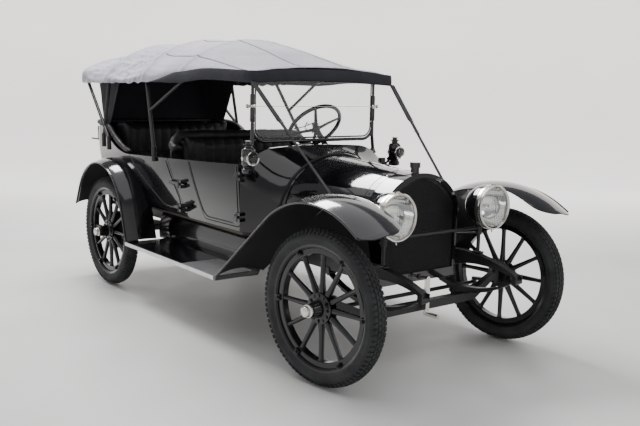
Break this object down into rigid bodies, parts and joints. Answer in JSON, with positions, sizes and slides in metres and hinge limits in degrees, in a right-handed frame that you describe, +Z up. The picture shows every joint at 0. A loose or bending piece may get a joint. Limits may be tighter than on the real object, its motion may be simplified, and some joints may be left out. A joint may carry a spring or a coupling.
{
  "type": "open four-door touring car",
  "caption": "Open touring car with folding cloth top, wood-spoked wheels, running boards and drum headlamps.",
  "frame": {"origin": "on the ground, below the middle of the car's overall box", "axes": "+X forward, +Y to the car's left, +Z up"},
  "size_m": [3.862, 1.6952, 1.8678],
  "materials": {
    "body_black": "gloss",
    "chassis_black": "satin",
    "wheel_black": "gloss",
    "tyre": "matt",
    "engine_iron": "matt",
    "core": "matt",
    "nickel": "polished",
    "glass": "clear",
    "aluminium": "satin",
    "rubber_mat": "matt",
    "canopy_cloth": "matt",
    "leather": "satin",
    "floor_wood": "matt",
    "bow_wood": "satin",
    "strap": "matt",
    "exhaust_iron": "matt"
  },
  "bodies": {
    "car": {"back_curtain": "canopy_cloth", "board_trim": "aluminium", "body_side_left": "body_black", "body_side_right": "body_black", "controls": "chassis_black", "cowl": "body_black", "engine": "engine_iron", "exhaust": "exhaust_iron", "floor": "floor_wood", "frame": "chassis_black", "front_axle": "chassis_black", "front_fenders": "body_black", "front_seat": "leather", "headlamp_glass": "glass", "headlamp_rims": "nickel", "headlamps": "body_black", "radiator_core": "core", "radiator_shell": "body_black", "rear_axle": "chassis_black", "rear_fenders": "body_black", "rear_seat": "leather", "rear_tub": "body_black", "running_boards": "rubber_mat", "seat_boxes": "floor_wood", "side_lamps": "body_black", "springs": "chassis_black", "steering_column": "chassis_black", "top_bows": "bow_wood", "top_canopy": "canopy_cloth", "top_rests": "chassis_black", "windscreen_frame": "body_black", "windscreen_glass": "glass"},
    "bonnet_right": {"bonnet_right": "body_black"},
    "bonnet_left": {"bonnet_left": "body_black"},
    "door_front_right": {"door_front_right": "body_black"},
    "door_front_left": {"door_front_left": "body_black"},
    "door_rear_right": {"door_rear_right": "body_black"},
    "door_rear_left": {"door_rear_left": "body_black"},
    "knuckle_right": {"knuckle_right": "chassis_black"},
    "knuckle_left": {"knuckle_left": "chassis_black"},
    "tie_rod": {"tie_rod": "chassis_black"},
    "steering_wheel": {"steering_wheel": "wheel_black"},
    "strap_right": {"strap_right": "strap"},
    "strap_left": {"strap_left": "strap"},
    "starting_crank": {"starting_crank": "nickel"},
    "wheel_front_right": {"tyre_front_right": "tyre", "wheel_front_right": "wheel_black"},
    "wheel_front_left": {"tyre_front_left": "tyre", "wheel_front_left": "wheel_black"},
    "wheel_rear_right": {"tyre_rear_right": "tyre", "wheel_rear_right": "wheel_black"},
    "wheel_rear_left": {"tyre_rear_left": "tyre", "wheel_rear_left": "wheel_black"}
  },
  "joints": [
    {"name": "steer_left", "type": "hinge", "parent": "car", "child": "knuckle_left", "pos_m": [1.496, 0.636, 0.412], "axis": [0, 0, 1], "range_deg": [-37.2, 22.8]},
    {"name": "steer_right", "type": "hinge", "parent": "car", "child": "knuckle_right", "pos_m": [1.496, -0.636, 0.412], "axis": [0, 0, 1], "range_deg": [-37.2, 22.8]},
    {"name": "tie_rod_pin", "type": "hinge", "parent": "knuckle_left", "child": "tie_rod", "pos_m": [1.34718, 0.6172, 0.317], "axis": [0, 0, 1], "range_deg": [-22.8, 37.2]},
    {"name": "spin_front_left", "type": "hinge", "parent": "knuckle_left", "child": "wheel_front_left", "pos_m": [1.4866, 0.71041, 0.412], "axis": [-0.1253, 0.9921, 0], "continuous": true},
    {"name": "spin_front_right", "type": "hinge", "parent": "knuckle_right", "child": "wheel_front_right", "pos_m": [1.5054, -0.71041, 0.412], "axis": [-0.1253, 0.9921, 0], "continuous": true},
    {"name": "spin_rear_left", "type": "hinge", "parent": "car", "child": "wheel_rear_left", "pos_m": [-1.146, 0.711, 0.412], "axis": [0, 1, 0], "continuous": true},
    {"name": "spin_rear_right", "type": "hinge", "parent": "car", "child": "wheel_rear_right", "pos_m": [-1.146, -0.711, 0.412], "axis": [0, 1, 0], "continuous": true},
    {"name": "steering_wheel_turn", "type": "hinge", "parent": "car", "child": "steering_wheel", "pos_m": [0.04, 0.33, 1.25], "axis": [-0.746, 0.0123, 0.6658], "range_deg": [-334.8, 205.2]},
    {"name": "door_front_left_swing", "type": "hinge", "parent": "car", "child": "door_front_left", "pos_m": [0.509, 0.604, 1.01], "axis": [0, 0, -1], "range_deg": [0, 70]},
    {"name": "door_rear_left_swing", "type": "hinge", "parent": "car", "child": "door_rear_left", "pos_m": [-0.146, 0.656, 1.01], "axis": [0, 0, -1], "range_deg": [0, 70]},
    {"name": "door_front_right_swing", "type": "hinge", "parent": "car", "child": "door_front_right", "pos_m": [0.509, -0.604, 1.01], "axis": [0, 0, 1], "range_deg": [0, 70]},
    {"name": "door_rear_right_swing", "type": "hinge", "parent": "car", "child": "door_rear_right", "pos_m": [-0.146, -0.656, 1.01], "axis": [0, 0, 1], "range_deg": [0, 70]},
    {"name": "bonnet_left_lift", "type": "hinge", "parent": "car", "child": "bonnet_left", "pos_m": [0.716, 0, 1.105], "axis": [0.9977, 0, -0.0677], "range_deg": [0, 75]},
    {"name": "bonnet_right_lift", "type": "hinge", "parent": "car", "child": "bonnet_right", "pos_m": [0.716, 0, 1.105], "axis": [-0.9977, 0, 0.0677], "range_deg": [0, 75]},
    {"name": "strap_left_swing", "type": "hinge", "parent": "car", "child": "strap_left", "pos_m": [0.588, 0.556, 1.5537], "axis": [0, -1, 0], "range_deg": [0, 45]},
    {"name": "strap_right_swing", "type": "hinge", "parent": "car", "child": "strap_right", "pos_m": [0.588, -0.556, 1.5537], "axis": [0, -1, 0], "range_deg": [0, 45]},
    {"name": "crank_turn", "type": "hinge", "parent": "car", "child": "starting_crank", "pos_m": [1.546, 0, 0.481], "axis": [1, 0, 0], "continuous": true}
  ],
  "couplings": [
    {"joint": "steer_right", "follows": "steer_left", "ratio": 1},
    {"joint": "tie_rod_pin", "follows": "steer_left", "ratio": -1},
    {"joint": "steering_wheel_turn", "follows": "steer_left", "ratio": 9},
    {"joint": "strap_left_swing", "follows": "bonnet_left_lift", "ratio": 0.6},
    {"joint": "strap_right_swing", "follows": "bonnet_right_lift", "ratio": 0.6}
  ]
}
